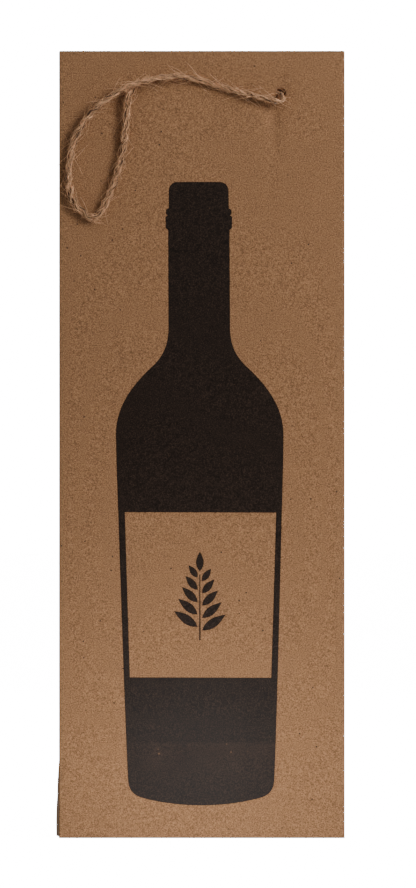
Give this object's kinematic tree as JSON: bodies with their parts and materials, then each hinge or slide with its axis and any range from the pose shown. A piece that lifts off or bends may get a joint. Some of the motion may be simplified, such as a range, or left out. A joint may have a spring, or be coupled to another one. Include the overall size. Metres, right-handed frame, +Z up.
{
  "type": "wine gift bag",
  "caption": "Tall folded paper gift bag for a bottle, with side gussets, a printed bottle shape, and a twisted cord handle.",
  "frame": {"origin": "centre of the base, on the surface the bag stands on", "axes": "+Z up, front (printed) panel towards -Y, width along X"},
  "size_m": [0.13, 0.0934, 0.358],
  "materials": {
    "kraft": "natural brown kraft, matt",
    "printed_kraft": "natural brown kraft with a dark matt print of a bottle shape",
    "grey_card": "grey board, matt",
    "jute": "twisted jute twine, hairy"
  },
  "bodies": {
    "base": {"rear_bottom_flap": "kraft", "front_bottom_flap": "kraft", "left_bottom_flap": "kraft", "right_bottom_flap": "kraft", "base_card": "grey_card"},
    "front": {"front_panel": "printed_kraft", "front_top_card": "grey_card", "front_top_hem": "kraft", "front_left_knot": "jute", "front_right_knot": "jute"},
    "back": {"back_panel": "kraft", "back_top_card": "grey_card", "back_top_hem": "kraft", "seam_flap": "kraft"},
    "front_handle": {"front_handle_cord": "jute"},
    "left_front_gusset": {"left_front_gusset": "kraft", "left_front_gusset_hem": "kraft"},
    "left_rear_gusset": {"left_rear_gusset": "kraft", "left_rear_gusset_hem": "kraft"},
    "right_front_gusset": {"right_front_gusset": "kraft", "right_front_gusset_hem": "kraft"},
    "right_rear_gusset": {"right_rear_gusset": "kraft", "right_rear_gusset_hem": "kraft"}
  },
  "joints": [
    {"name": "front_panel_lean", "type": "hinge", "parent": "base", "child": "front", "pos_m": [0, -0.0421, 0.0004], "axis": [-1, 0, 0], "range_deg": [0, 0.9]},
    {"name": "back_panel_lean", "type": "hinge", "parent": "base", "child": "back", "pos_m": [0, 0.0421, 0.0004], "axis": [1, 0, 0], "range_deg": [0, 0.9]},
    {"name": "left_front_gusset_fold", "type": "hinge", "parent": "front", "child": "left_front_gusset", "pos_m": [-0.0646, -0.0421, 0.18], "axis": [0, 0, -1], "range_deg": [0, 30]},
    {"name": "left_rear_gusset_fold", "type": "hinge", "parent": "back", "child": "left_rear_gusset", "pos_m": [-0.0646, 0.0421, 0.18], "axis": [0, 0, 1], "range_deg": [0, 30]},
    {"name": "right_front_gusset_fold", "type": "hinge", "parent": "front", "child": "right_front_gusset", "pos_m": [0.0646, -0.0421, 0.18], "axis": [0, 0, 1], "range_deg": [0, 30]},
    {"name": "right_rear_gusset_fold", "type": "hinge", "parent": "back", "child": "right_rear_gusset", "pos_m": [0.0646, 0.0421, 0.18], "axis": [0, 0, -1], "range_deg": [0, 30]},
    {"name": "front_handle_swing", "type": "hinge", "parent": "front", "child": "front_handle", "pos_m": [0.0016, -0.0449, 0.3394], "axis": [-1, 0, 0], "range_deg": [0, 150], "deforming": ["front_handle_cord"]}
  ],
  "couplings": [
    {"joint": "front_panel_lean", "follows": "right_front_gusset_fold", "ratio": 0.03},
    {"joint": "back_panel_lean", "follows": "right_front_gusset_fold", "ratio": 0.03},
    {"joint": "left_front_gusset_fold", "follows": "right_front_gusset_fold", "ratio": 1},
    {"joint": "left_rear_gusset_fold", "follows": "right_front_gusset_fold", "ratio": 1},
    {"joint": "right_rear_gusset_fold", "follows": "right_front_gusset_fold", "ratio": 1}
  ]
}
